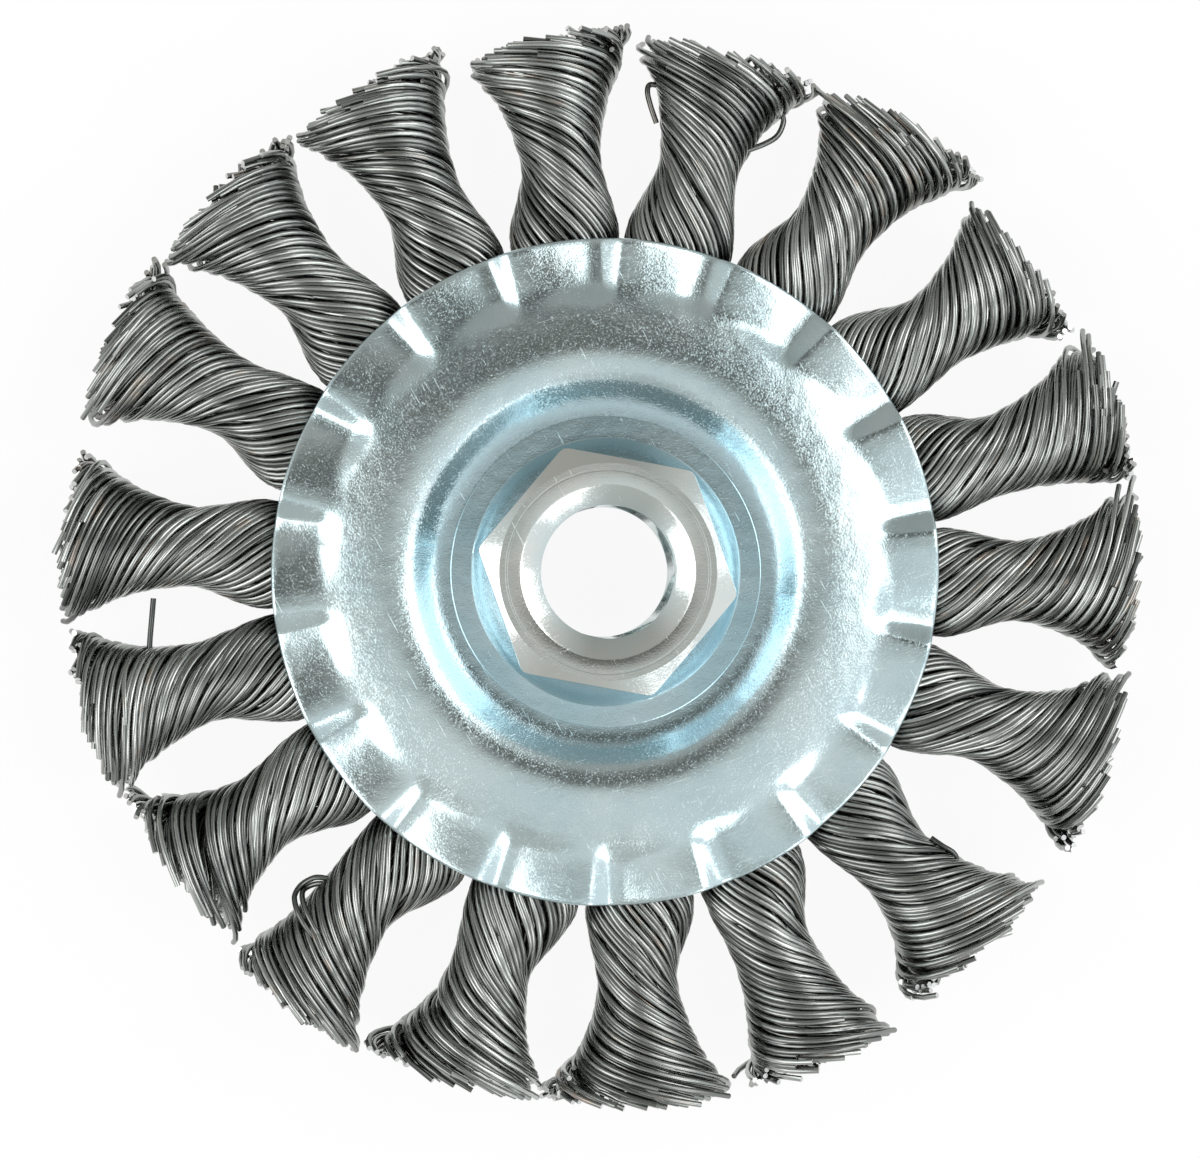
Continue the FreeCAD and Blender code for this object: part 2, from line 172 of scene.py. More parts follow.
def new_material(name, steady):
    material = bpy.data.materials.new(name)
    material.use_nodes = True
    tree = material.node_tree
    shader = tree.nodes["Principled BSDF"]
    fill_sockets(tree, shader, steady)
    return material, tree, shader


print("helpers for nodes, groups and materials are ready")

# %% [markdown]
# The same few nodes come back in nearly every finish: a noise, a sum or product, a value moved
# from one range to another, and a colour between two others. Each gets a short name.

# %% Nodes that come back often
def add_noise(tree, where, sockets):
    return add_node(tree, "ShaderNodeTexNoise", {"Vector": where, **sockets}).outputs["Fac"]


def add_math(tree, operation, *sources):
    return add_node(tree, "ShaderNodeMath", dict(enumerate(sources)), operation=operation).outputs["Value"]


def move_range(tree, source, before=(0, 1), after=(0, 1)):
    limits = zip(("From Min", "From Max", "To Min", "To Max"), (*before, *after))
    return add_node(tree, "ShaderNodeMapRange", {"Value": source, **dict(limits)}).outputs["Result"]


def mix_colours(tree, share, first, second):
    """Each colour is a socket, or plain red, green and blue."""
    first, second = [(*colour, 1) if isinstance(colour, tuple) else colour for colour in (first, second)]
    mix = add_node(tree, "ShaderNodeMix", {"Factor": share, 6: first, 7: second}, data_type="RGBA")
    return mix.outputs[2]


def two_tones(tree, source, dark, light):
    ramp = add_node(tree, "ShaderNodeValToRGB", {"Fac": source})
    for element, colour in zip(ramp.color_ramp.elements, (dark, light)):
        element.color = (*colour, 1)
    return ramp.outputs["Color"]


def off_axis(tree, vector):
    """How far a point lies from the Z axis."""
    level = add_node(tree, "ShaderNodeVectorMath", {0: vector, 1: (1, 1, 0)}, operation="MULTIPLY")
    length = add_node(tree, "ShaderNodeVectorMath", {0: level.outputs["Vector"]}, operation="LENGTH")
    return length.outputs["Value"]


print("short names for common nodes are ready")

# %% [markdown]
# ## The grain of plated steel
#
# Bright zinc is never a perfect mirror. Under a lens it shows scattered crystals that sparkle
# where the sheet looks dark, and the sheet below it is slightly wavy from the press. A noise
# raised to a high power is nearly smooth, with single sharp peaks standing out of it.
# Both could be painted on, but light reacts to slopes, so noise is used as a height here.
# One group makes the grain, the slow waves and a soft cloud for colour, and every plated
# piece uses it with its own strengths.

# %% Group: grain of the plating
FLOAT = "NodeSocketFloat"
VECTOR = "NodeSocketVector"
GRAIN_SCALE = 5200.0
WAVE_SCALE = 330.0
CLOUD_SCALE = 95.0
PEAK_POWER = 5.0

plating, plating_in, plating_out = new_group(
    "Plating grain",
    [("Vector", VECTOR, None), ("Grain Scale", FLOAT, GRAIN_SCALE), ("Wave Scale", FLOAT, WAVE_SCALE)],
    [("Grain", FLOAT), ("Wave", FLOAT), ("Cloud", FLOAT)],
)


def plating_noise(scale, detail, roughness):
    sockets = {"Scale": scale, "Detail": detail, "Roughness": roughness}
    return add_noise(plating, plating_in.outputs["Vector"], sockets)


grain = plating_noise(plating_in.outputs["Grain Scale"], 3.0, 0.65)
wave = plating_noise(plating_in.outputs["Wave Scale"], 2.0, 0.5)
cloud = plating_noise(CLOUD_SCALE, 4.0, 0.6)
peaks = add_math(plating, "POWER", grain, PEAK_POWER)
fill_sockets(plating, plating_out, {"Grain": peaks, "Wave": wave, "Cloud": cloud})

print("group", plating.name, "has", len(plating.nodes), "nodes")

# %% [markdown]
# ## Scratches
#
# Handling leaves hairlines that run in many directions. A noise that is stretched fortyfold
# along one axis turns into streaks, and a steep ramp keeps only the strongest. Two sets at
# different angles, crossed, look like wear and not like a pattern.

# %% Group: hairline scratches
SCRATCH_SCALE = 8000.0
SCRATCH_ANGLES = (0.5, 1.9)
STREAK_STRETCH = (1, 40, 3)
STREAK_PEAKS = (0.71, 0.77)

scratches, scratches_in, scratches_out = new_group(
    "Hairline scratches", [("Vector", VECTOR, None), ("Scale", FLOAT, SCRATCH_SCALE)], [("Scratch", FLOAT)]
)
streak_masks = []
for angle in SCRATCH_ANGLES:
    mapping = add_node(
        scratches, "ShaderNodeMapping",
        {"Vector": scratches_in.outputs["Vector"], "Rotation": (0, 0, angle), "Scale": STREAK_STRETCH},
        vector_type="TEXTURE",
    )
    sockets = {"Scale": scratches_in.outputs["Scale"], "Detail": 2.0}
    streaks = add_noise(scratches, mapping.outputs["Vector"], sockets)
    streak_masks.append(move_range(scratches, streaks, STREAK_PEAKS))
fill_sockets(scratches, scratches_out, {"Scratch": add_math(scratches, "MAXIMUM", *streak_masks)})

print("group", scratches.name, "has", len(scratches.nodes), "nodes")

# %% [markdown]
# ## Zinc for the covers and for the nut
#
# Both are bright zinc with a thin blue passivation, so they share one recipe: a metal whose
# colour drifts between two bluish greys, a low roughness that rises in the grain, and two
# bumps in a row, one for the waves and one for grain and scratches. Within a set distance of
# the bore the colour turns to an inner tint. On the covers it is darker and bluer, painted
# shade in the hollow round the nut; in the nut it is darker, painted shade in the mouth of
# the bore. The foot of the nut gets a material of its own, a darker, bluer copy of the zinc.

# %% Zinc recipe
CLOUD_RANGE = (0.38, 0.62)
INNER_TINT_FADE = 0.002
GRAIN_DULLNESS = 0.2
SCRATCH_DEPTH = 0.12


def make_zinc(name, blue, pale, inner_tint, inner_tint_end, roughness, wave_height, grain_height):
    """Colours are red, green and blue. The end of the inner tint and both heights are in metres."""
    material, tree, shader = new_material(name, {"Metallic": 1.0})
    where = add_node(tree, "ShaderNodeTexCoord").outputs["Object"]
    sockets = {"Vector": where, "Grain Scale": GRAIN_SCALE, "Wave Scale": WAVE_SCALE}
    surface = add_node(tree, "ShaderNodeGroup", sockets, node_tree=plating).outputs
    sockets = {"Vector": where, "Scale": SCRATCH_SCALE}
    lines = add_node(tree, "ShaderNodeGroup", sockets, node_tree=scratches).outputs

    colour = mix_colours(tree, move_range(tree, surface["Cloud"], CLOUD_RANGE), blue, pale)
    # Within a set distance of the axis the colour turns to the inner tint, painted shade on the covers and
    # the nut.
    past_inner_tint = move_range(tree, off_axis(tree, where), (inner_tint_end - INNER_TINT_FADE, inner_tint_end))
    marks = add_math(tree, "MULTIPLY_ADD", lines["Scratch"], -SCRATCH_DEPTH, surface["Grain"])
    waves = add_node(tree, "ShaderNodeBump", {"Distance": wave_height, "Height": surface["Wave"]})
    fine = add_node(tree, "ShaderNodeBump", {
        "Distance": grain_height, "Height": marks, "Normal": waves.outputs["Normal"],
    })
    for bump in (waves, fine):
        bump.inputs["Strength"].default_value = 1.0
    fill_sockets(tree, shader, {
        "Base Color": mix_colours(tree, past_inner_tint, inner_tint, colour),
        "Roughness": move_range(tree, surface["Grain"], (0, 1), (roughness, roughness + GRAIN_DULLNESS)),
        "Normal": fine.outputs["Normal"],
    })
    return material


# The inner tint of the covers is darker and bluer: painted shade in the hollow round the nut.
sheet_zinc = make_zinc(
    "sheet_zinc", blue=(0.56, 0.69, 0.72), pale=(0.66, 0.77, 0.79), inner_tint=(0.50, 0.65, 0.70),
    inner_tint_end=0.0186, roughness=0.09, wave_height=0.00007, grain_height=0.000055,
)
# The inner tint of the nut is darker: painted shade in the mouth of the bore and the thread.
nut_zinc = make_zinc(
    "nut_zinc", blue=(0.64, 0.71, 0.70), pale=(0.72, 0.73, 0.70), inner_tint=(0.58, 0.66, 0.66),
    inner_tint_end=0.0076, roughness=0.11, wave_height=0.00003, grain_height=0.00003,
)
# A darker, bluer copy of the nut's zinc: painted shade on the flange, foot and hexagon sides.
shaded_foot_zinc = make_zinc(
    "shaded_foot_zinc", blue=(0.45, 0.64, 0.71), pale=(0.55, 0.70, 0.75), inner_tint=(0.55, 0.65, 0.69),
    inner_tint_end=0.0122, roughness=0.10, wave_height=0.00005, grain_height=0.00004,
)
print("made", sheet_zinc.name, nut_zinc.name, shaded_foot_zinc.name)

# %% [markdown]
# ## Drawn wire
#
# Hard drawn wire is dark, half glossy and streaked along its length by the drawing die, and
# no two wires in a bundle are equally dark. The mesh of a knot will carry two numbers for
# each wire: a tone, and how brown it is. The material reads them, so one material serves
# about a thousand wires. The texture map of a wire runs along it, which lets a stretched
# noise draw the streaks.

# %% Wire material
DARK_WIRE, LIGHT_WIRE = (0.10, 0.105, 0.10), (0.50, 0.515, 0.495)
BROWN_WIRE = (0.32, 0.27, 0.23)
STREAK_HEIGHT = 0.00002


def make_wire_material():
    material, tree, shader = new_material("drawn_wire", {"Metallic": 1.0})
    tone = add_node(tree, "ShaderNodeAttribute", attribute_name="tone").outputs["Fac"]
    brown = add_node(tree, "ShaderNodeAttribute", attribute_name="brown").outputs["Fac"]
    along = add_node(tree, "ShaderNodeUVMap", uv_map="along").outputs["UV"]
    where = add_node(tree, "ShaderNodeTexCoord").outputs["Object"]

    patches = add_noise(tree, where, {"Scale": 420.0, "Detail": 3.0})
    amount = add_math(tree, "MULTIPLY", brown, move_range(tree, patches, (0.48, 0.66)))
    stretch = add_node(tree, "ShaderNodeMapping", {"Vector": along, "Scale": (0.5, 12.0, 1.0)})
    streaks = add_noise(tree, stretch.outputs["Vector"], {"Scale": 1.0, "Detail": 2.0})
    ridges = add_node(tree, "ShaderNodeBump", {
        "Strength": 0.5, "Distance": STREAK_HEIGHT, "Height": streaks,
    })
    fill_sockets(tree, shader, {
        "Base Color": mix_colours(tree, amount, two_tones(tree, tone, DARK_WIRE, LIGHT_WIRE), BROWN_WIRE),
        "Roughness": move_range(tree, streaks, (0.3, 0.7), (0.12, 0.28)),
        "Normal": ridges.outputs["Normal"],
    })
    return material


drawn_wire = make_wire_material()
print("made", drawn_wire.name)

# %% [markdown]
# Where a wire was cut or worn off, its end is bright. The end faces of the tubes get their
# own material for that, with a coarse grain from the break.

# %% Cut ends of wires
cut_end, tree, shader = new_material("cut_wire_end", {"Metallic": 1.0, "Roughness": 0.3})
where = add_node(tree, "ShaderNodeTexCoord").outputs["Object"]
broken = add_noise(tree, where, {"Scale": 9000.0, "Detail": 2.0})
fill_sockets(tree, shader, {"Base Color": two_tones(tree, broken, (0.40, 0.40, 0.40), (0.92, 0.92, 0.90))})
print("made", cut_end.name)

# %% [markdown]
# ## The pressed covers
#
# Each cover starts as a flat blank. The press leaves a flat seat round the hole, a dished
# step, a gentle rise to a crest, and a cone that gets steeper as it falls to the rim. A drawn
# line through a few corners gives the first, a slope that is added up gives the cone, and
# averaging every point with its neighbours rounds all the bends.

# %% Profile of a cover
PLATE_RADIUS = 31.0
HOLE_RADIUS = 9.1
SHEET = 1.0
SEAT_HEIGHT = 5.6
CREST = 7.0
CREST_RADIUS = 20.1
CORNER_RADII = [8.0, 15.3, 16.7, 17.8, CREST_RADIUS, 32.5]
CORNER_HEIGHTS = [SEAT_HEIGHT, SEAT_HEIGHT, 5.92, 6.65, CREST, CREST]
CONE_SLOPE = 0.164
CONE_RADII = [CREST_RADIUS - 0.1, CREST_RADIUS + 0.2, 23.5]
CONE_SHARES = [0.0, 0.45, 1.0]
BEND_BLUR = 48


def bell_weights(reach, width):
    """Weights of the neighbours on both sides in a soft average."""
    weights = np.exp(-0.5 * (np.arange(-reach, reach + 1) / width) ** 2)
    return weights / weights.sum()


fine_radii = np.linspace(CORNER_RADII[0], CORNER_RADII[-1], 491)
sharp_profile = np.interp(fine_radii, CORNER_RADII, CORNER_HEIGHTS)
slopes = CONE_SLOPE * np.interp(fine_radii, CONE_RADII, CONE_SHARES)
sharp_profile -= np.cumsum(slopes) * (fine_radii[1] - fine_radii[0])
padded = np.pad(sharp_profile, BEND_BLUR, mode="reflect", reflect_type="odd")
soft_profile = np.convolve(padded, bell_weights(BEND_BLUR, BEND_BLUR / 4), mode="valid")
soft_profile += CREST - soft_profile.max()


def cover_profile(radius):
    return np.interp(radius, fine_radii, soft_profile)


seat, rim = (round(float(cover_profile(radius)), 2) for radius in (12.0, PLATE_RADIUS))
print("seat", seat, "crest", CREST, "rim", rim)

# %% [markdown]
# ## The waves in the rim
#
# When the press closes the covers over the knots, the rim is squeezed into eighteen folds.
# Going clockwise past each knot there is a flat that the bundle holds up, a long slope, a
# narrow valley between two bundles and a short steep rise. The folds fade out about 5 mm
# in from the rim. They are a height that is added to the profile, so the sheet keeps its
# thickness.

# %% Height of a cover, waves included
FOLD_TURNS = [-10.6, -7.2, -2.0, 1.2, 4.2, 6.5, 9.4]
FOLD_SHARES = [1.0, 0.98, 0.62, 0.34, 0.0, 0.0, 1.0]
FOLD_BLUR = 24
FOLD_START, FOLD_RUN = 24.8, 2.0
FLAT_START, FLAT_BEND = 26.4, 3.0
VALLEY_DEPTH = 0.46

fold_angles = np.linspace(FOLD_TURNS[0], FOLD_TURNS[-1], 401)
fold_raw = np.interp(fold_angles, FOLD_TURNS, FOLD_SHARES)
fold_wrapped = np.concatenate([fold_raw[-1 - FOLD_BLUR:-1], fold_raw, fold_raw[1:1 + FOLD_BLUR]])
fold_soft = np.convolve(fold_wrapped, bell_weights(FOLD_BLUR, 9.0), mode="valid")


def cover_height(radius, clockwise):
    """Outer face of a cover above the middle plane. The angle in degrees runs from knot 1."""
    beside = (clockwise - FOLD_TURNS[0]) % PITCH + FOLD_TURNS[0]
    held = np.interp(beside, fold_angles, fold_soft)
    lift = CONE_SLOPE * np.logaddexp(0, FLAT_BEND * (radius - FLAT_START)) / FLAT_BEND
    sink = VALLEY_DEPTH * smooth_step((radius - FOLD_START) / FOLD_RUN)
    return cover_profile(radius) + held * lift - (1 - held) * sink


flat, valley = (round(float(cover_height(PLATE_RADIUS, turn)), 2) for turn in (-8.0, 5.2))
print("rim height on a flat", flat, "and in a valley", valley)

# %% [markdown]
# The grid of a cover runs from the hole over the outer face to the rim, round the sheared
# edge and back underneath. Rows stand closer together at the bends, and a drop below the
# outer face gives the sheet its thickness and breaks its edges.

# %% Rows of a cover
HOLE_BREAK = 0.15
RIM_BREAKS = (0.03, 0.12, 0.30)

outer_radii = np.concatenate([
    [HOLE_RADIUS, 9.25, 12.0, 14.2],
    np.linspace(14.9, 21.5, 17),
    [22.4, 23.6, 24.5],
    np.linspace(25.1, 28.3, 9),
    [29.0, 29.7, 30.3, 30.7, 30.88, 30.97],
])
inner_radii = np.array([
    30.97, 30.7, 29.4, 28.0, 26.7, 25.4, 23.0, 20.9, 19.8, 18.8, 17.8, 16.8, 15.4, 9.25, HOLE_RADIUS,
])
outer_drops = np.zeros(len(outer_radii))
outer_drops[0] = HOLE_BREAK
outer_drops[-2:] = RIM_BREAKS[:2]
inner_drops = np.full(len(inner_radii), SHEET)
inner_drops[0] -= RIM_BREAKS[1]
inner_drops[-1] -= HOLE_BREAK
cover_radii = np.concatenate([outer_radii, [PLATE_RADIUS, PLATE_RADIUS], inner_radii])
cover_drops = np.concatenate([outer_drops, [RIM_BREAKS[2], SHEET - RIM_BREAKS[2]], inner_drops])
print("rows of a cover:", len(cover_radii))

# %% [markdown]
# Columns stand closer together at the valleys, where the sheet bends most. The far cover is
# the same stamping turned over about the first knot.

# %% Build both covers
COLUMNS_PER_KNOT = 24
VALLEY_TURN = 6.0
CROWDING, CROWDING_POWER = 0.58, 1.4


def crowded_angles():
    steps = np.arange(COLUMNS_PER_KNOT) / COLUMNS_PER_KNOT - 0.5
    crowded = steps * (1 - CROWDING + CROWDING * np.abs(2 * steps) ** CROWDING_POWER)
    one_knot = VALLEY_TURN + PITCH * crowded
    return np.concatenate([one_knot + PITCH * knot for knot in range(KNOT_COUNT)])


def make_cover(name, node, side):
    """The side is 1 for the cover under the nut and -1 for the one turned over."""
    radius, clockwise = np.meshgrid(cover_radii, crowded_angles(), indexing="ij")
    height = cover_height(radius, clockwise) - cover_drops[:, None]
    points = polar_points(radius, np.radians(-clockwise), height) * [1, side, side]
    placed = points @ turn_about_bore(FIRST_KNOT) + [0, 0, MIDDLE]
    return make_piece(name, placed, closed_grid_faces(*radius.shape), [sheet_zinc], node)


front_cover = make_cover("front_cover", "front_plate", 1)
rear_cover = make_cover("rear_cover", "rear_plate", -1)
print("front cover:", len(front_cover.data.polygons), "faces")

# %% [markdown]
# ## The flanged nut
#
# The nut, its round flange and the spigot that goes through the wheel are one forging. Its
# skin is a closed grid too, but its rows are not all level: the row where the sloping foot
# meets the hexagon and the row where the corner chamfer starts climb and fall with the angle,
# so these curved edges come out exact. The corners of the hexagon are blunt, as on any forging.

# %% Shape of the hexagon and its foot
NUT_TURN = math.radians(-10.3)
NUT_TOP = 22.3
FLAT_RADIUS = 10.5
BLUNT_CORNER, CORNER_BLEND = 12.0, 0.05
LAND_RADIUS = 9.95
CHAMFER_SLOPE = 0.577
FOOT_RADIUS = 12.4
FOOT_BOTTOM = 13.66
FOOT_ANGLE = math.radians(55)
COLUMNS = 192

around = np.linspace(0, 2 * np.pi, COLUMNS, endpoint=False) + NUT_TURN
off_flat = (around - NUT_TURN) % (math.pi / 3) - math.pi / 6
true_hexagon = FLAT_RADIUS / np.cos(off_flat)
hexagon = -CORNER_BLEND * np.logaddexp(-true_hexagon / CORNER_BLEND, -BLUNT_CORNER / CORNER_BLEND)
foot_top = FOOT_BOTTOM + (FOOT_RADIUS - hexagon) * math.tan(FOOT_ANGLE)
chamfer_height = NUT_TOP - CHAMFER_SLOPE * (hexagon - LAND_RADIUS)
print("hexagon radius from", round(hexagon.min(), 2), "to", round(hexagon.max(), 2), "mm")

# %% [markdown]
# The rows start at the flared end under the wheel. They go up the spigot and over the flange,
# up the foot and the hexagon, over the chamfer and the flat land with its turned groove, and
# down the mouth of the thread. A row is level, or it follows the hexagon.

# %% Rows of the nut, from the flared end up the outside and into the mouth
SPIGOT_RADIUS = 9.0
FLARE_RADIUS = 11.2
BOTTOM = 0.4
FLANGE_RADIUS = 14.4
FLANGE_TOP = 13.6
SEAT = MIDDLE + SEAT_HEIGHT
REAR_SEAT = MIDDLE - SEAT_HEIGHT
EDGE_HEIGHT, EDGE_WIDTH = 0.07, 0.05

nut_rows = []


def add_row(radius, height):
    nut_rows.append((np.broadcast_to(radius, COLUMNS), np.broadcast_to(height, COLUMNS)))


for radius, height in [
    (7.0, BOTTOM), (9.4, BOTTOM), (10.5, 0.45), (11.0, 0.62), (FLARE_RADIUS, 0.95),
    (11.15, 1.25), (11.0, REAR_SEAT), (SPIGOT_RADIUS, REAR_SEAT), (SPIGOT_RADIUS, SEAT),
    (14.1, SEAT), (14.33, SEAT + 0.08), (FLANGE_RADIUS, SEAT + 0.25),
    (FLANGE_RADIUS, FLANGE_TOP - 0.14), (14.37, FLANGE_TOP - 0.06), (14.31, FLANGE_TOP - 0.03),
    (14.2, FLANGE_TOP - 0.026), (13.7, FLANGE_TOP - 0.012), (13.1, FLANGE_TOP + 0.006),
    (12.7, FLANGE_TOP + 0.02), (12.48, FLANGE_TOP + 0.034),
]:
    add_row(radius, height)
for share in (0.05, 0.3, 0.6, 0.85, 1.0):
    add_row(FOOT_RADIUS + share * (hexagon - FOOT_RADIUS), FOOT_BOTTOM + share * (foot_top - FOOT_BOTTOM))
for share in (0.08, 0.5):
    add_row(hexagon, foot_top + share * (chamfer_height - foot_top))
add_row(hexagon, chamfer_height - EDGE_HEIGHT)
foot_rows = len(nut_rows)
for radius in (hexagon - EDGE_WIDTH, (hexagon + LAND_RADIUS) / 2):
    add_row(radius, NUT_TOP - CHAMFER_SLOPE * (radius - LAND_RADIUS))
for radius, drop in [
    (LAND_RADIUS, 0.0), (9.42, 0.0), (9.36, 0.05), (9.24, 0.05), (9.18, 0.0), (8.1, 0.0),
    (7.9, 0.05), (7.7, 0.15), (7.0, 0.56), (6.4, 0.90), (6.2, 1.04),
]:
    add_row(radius, NUT_TOP - drop)
print("rows outside the bore:", len(nut_rows))

# %% [markdown]
# The thread is right-handed with a pitch of 2 mm. Its crest is at the bore radius and its
# root 0.9 mm deeper. The depth depends on height and angle together, which turns level
# rows of points into a screw. Up to the chamfer the nut has a darker, bluer copy of its zinc,
# which is painted shade at its foot; above it the paler zinc.

# %% Rows of the thread
BORE_RADIUS = 6.1
THREAD_PITCH = 2.0
THREAD_DEPTH = 0.9
ROWS_PER_TURN = 8
FLANK_STEEPNESS, CREST_FLAT = 1.35, 0.2
MOUTH_DEPTH = 1.1
LOWER_CHAMFER = 0.9
LEAD_START, LEAD_RUN = 0.15, 1.2

thread_top = NUT_TOP - MOUTH_DEPTH
thread_bottom = BOTTOM + LOWER_CHAMFER
for height in np.arange(thread_top, thread_bottom, -THREAD_PITCH / ROWS_PER_TURN):
    phase = (height / THREAD_PITCH - around / (2 * np.pi)) % 1.0
    groove = np.clip(FLANK_STEEPNESS * (1 - np.abs(2 * phase - 1)) - CREST_FLAT, 0, 1)
    lead_in = smooth_step((thread_top - height + LEAD_START) / LEAD_RUN)
    add_row(BORE_RADIUS + THREAD_DEPTH * groove * lead_in, height)

nut_radius, nut_height = (np.array(part) for part in zip(*nut_rows))
nut_points = polar_points(nut_radius, around[None, :], nut_height)
nut_faces = closed_grid_faces(len(nut_rows), COLUMNS)
# The faces up to the chamfer take the darker, bluer copy of the zinc, which is painted shade.
nut = make_piece("flanged_nut", nut_points, nut_faces, [nut_zinc, shaded_foot_zinc], "threaded_hub")
below_chamfer = np.repeat(np.arange(len(nut_rows)) < foot_rows, COLUMNS)
nut.data.polygons.foreach_set("material_index", below_chamfer.astype(np.int32))
nut.data.set_sharp_from_angle(angle=math.radians(22))
print("nut:", len(nut.data.polygons), "faces,", len(nut_rows), "rows")

# %% [markdown]
# ## How a knot stands
#
# Each knot begins as a bundle that is folded through its window in the inner ring. Its two
# legs are twisted round each other, narrow to a neck and spread again at the worn tips. No
# two knots stand alike, so a table notes for each how it leans at the rim and at the neck,
# from where to where its tips spread, and how far both ends of them reach past the mean
# circle. Leans and spreads are shares of the angle between two knots, clockwise, and the
# last two numbers are millimetres.

# %% The eighteen knots
KNOT_TABLE = [
    (0.01, 0.05, -0.39, 0.50, -0.9, 0.9),
    (-0.01, 0.01, -0.44, 0.53, 0.0, -0.6),
    (-0.02, 0.03, -0.43, 0.52, -0.4, 1.2),
    (-0.04, 0.05, -0.40, 0.49, -1.4, -0.9),
    (-0.05, 0.02, -0.47, 0.33, 0.3, 0.3),
    (-0.06, -0.09, -0.61, 0.37, 0.1, -1.0),
    (-0.06, -0.07, -0.60, 0.40, -0.4, 0.9),
    (0.01, 0.09, -0.35, 0.61, 0.2, -0.9),
    (0.04, 0.15, -0.25, 0.55, 0.5, -0.1),
    (0.04, 0.12, -0.32, 0.68, 0.3, -0.9),
    (0.04, 0.15, -0.29, 0.68, -0.6, -0.5),
    (0.04, 0.19, -0.25, 0.53, 0.3, -0.3),
    (0.03, 0.09, -0.38, 0.60, -1.3, -1.0),
    (0.02, 0.08, -0.37, 0.51, 0.1, -0.1),
    (0.00, 0.03, -0.38, 0.50, 0.6, 0.0),
    (0.02, 0.11, -0.34, 0.58, 0.6, 1.0),
    (0.01, 0.07, -0.36, 0.54, 0.4, 0.6),
    (0.01, 0.05, -0.40, 0.50, -0.4, 1.2),
]
WIRE_RADIUS = 0.27
print(len(KNOT_TABLE), "knots, wires of", 2 * WIRE_RADIUS, "mm")

# %% [markdown]
# The outline of a knot is given at four stations: where the bundle leaves the ring, at the
# rim of the covers, at the neck and at the tips. Between them it is blended smoothly, and
# the last stretch opens slowly at first, like the bell of a trumpet.

# %% Outline of a knot at any radius
LINK_END, LINK_HALF_WIDTH = 26.6, 2.1
RIM_HALF_SHARE = 0.475
NECK_RADIUS, NECK_HALF_WIDTH = 39.0, 3.8
TIP_RADIUS = 50.0
HALF_HEIGHTS = [4.7, 3.95, 3.8, 6.2]
BELL_POWER = 1.6


def knot_outline(row, radius):
    """Half angle, lean and half height of a knot, angles in degrees and clockwise."""
    rim_lean, neck_lean, low, high, low_reach, high_reach = row
    tip = TIP_RADIUS + (low_reach + high_reach) / 2
    stations = [LINK_END, PLATE_RADIUS, NECK_RADIUS, tip]
    half_angles = [
        math.degrees(LINK_HALF_WIDTH / LINK_END),
        RIM_HALF_SHARE * PITCH,
        math.degrees(NECK_HALF_WIDTH / NECK_RADIUS),
        (high - low) / 2 * PITCH,
    ]
    leans = [0.0, rim_lean * PITCH, neck_lean * PITCH, (high + low) / 2 * PITCH]
    index = np.clip(np.searchsorted(stations, radius) - 1, 0, 2)
    before = np.take(stations, index)
    share = np.clip((radius - before) / (np.take(stations, index + 1) - before), 0, 1)
    share = np.where(index == 2, share ** BELL_POWER, smooth_step(share))
    return [
        np.take(values, index) + share * (np.take(values, index + 1) - np.take(values, index))
        for values in (half_angles, leans, HALF_HEIGHTS)
    ]


test_radii = np.array([PLATE_RADIUS, NECK_RADIUS, TIP_RADIUS])
first_outline = knot_outline(KNOT_TABLE[0], test_radii)
print("half widths of knot 1 in mm:", np.round(np.radians(first_outline[0]) * test_radii, 2))

# %% [markdown]
# ## How a knot is twisted
#
# The wires turn about the middle of the knot as they run outwards, slowly at the ring and
# ever faster towards the tips, where they lie almost across. The turn is left-handed. It
# is written as a rate per millimetre and added up, so the angle of a wire is known at any
# radius. The points along a wire are spaced by turn, so the tight end gets more of them.

# %% Turn of the wires along a knot
RATE_RADII = [LINK_END, 31.0, 35.0, 39.0, 44.0, 51.5]
RATE_VALUES = [0.07, 0.13, 0.22, 0.30, 0.42, 0.52]
DISTANCE_SHARE = 0.5
turn_radii = np.linspace(RATE_RADII[0], RATE_RADII[-1], 500)
turn_rates = np.interp(turn_radii, RATE_RADII, RATE_VALUES)
turn_sums = np.concatenate([[0], np.cumsum((turn_rates[1:] + turn_rates[:-1]) / 2 * np.diff(turn_radii))])


def radii_for_steps(end, steps):
    """Radii from the ring to an end, evenly spaced in a mix of distance and turn."""
    distance = (turn_radii - LINK_END) / (RATE_RADII[-1] - LINK_END)
    progress = turn_sums / turn_sums[-1] + DISTANCE_SHARE * distance
    last = np.interp(end, turn_radii, progress)
    wanted = np.linspace(0, 1, steps)[None, :] * last[:, None]
    return np.interp(wanted, progress, turn_radii)


full_turn = math.degrees(float(np.interp(TIP_RADIUS, turn_radii, turn_sums)))
print("turn from ring to tips:", round(full_turn), "degrees")

# %% [markdown]
# ## Where each wire lies
#
# A section of the knot is treated as a disc that is squeezed into its outline. Each wire has
# an angle in that disc and a layer. As the wires lie ever flatter, fewer of them fit on the
# surface, so a share of the outer ones has to sink below their neighbours on the way out.
# Which ones sink is spread evenly by the golden ratio. Slow waves of a few hundredths of a
# millimetre keep the wires from looking combed.

# %% Angle and depth of the wires in a section
OUTER_LAYER = 0.9
OPEN_START, OPEN_RUN = 43.0, 7.0
LOOSE_START, LOOSE_RUN = 40.0, 9.0
FIRM_WANDER, LOOSE_WANDER = 0.02, 0.07
GOLDEN_RATIO = 0.618034
PACKING, SINK_SOFTNESS, SINK_DEPTH = 1.05, 0.16, 1.7
RIPPLE = 0.05


def opened(radius):
    """How far the bell of a knot has opened, from 0 to 1."""
    return smooth_step((radius - OPEN_START) / OPEN_RUN)


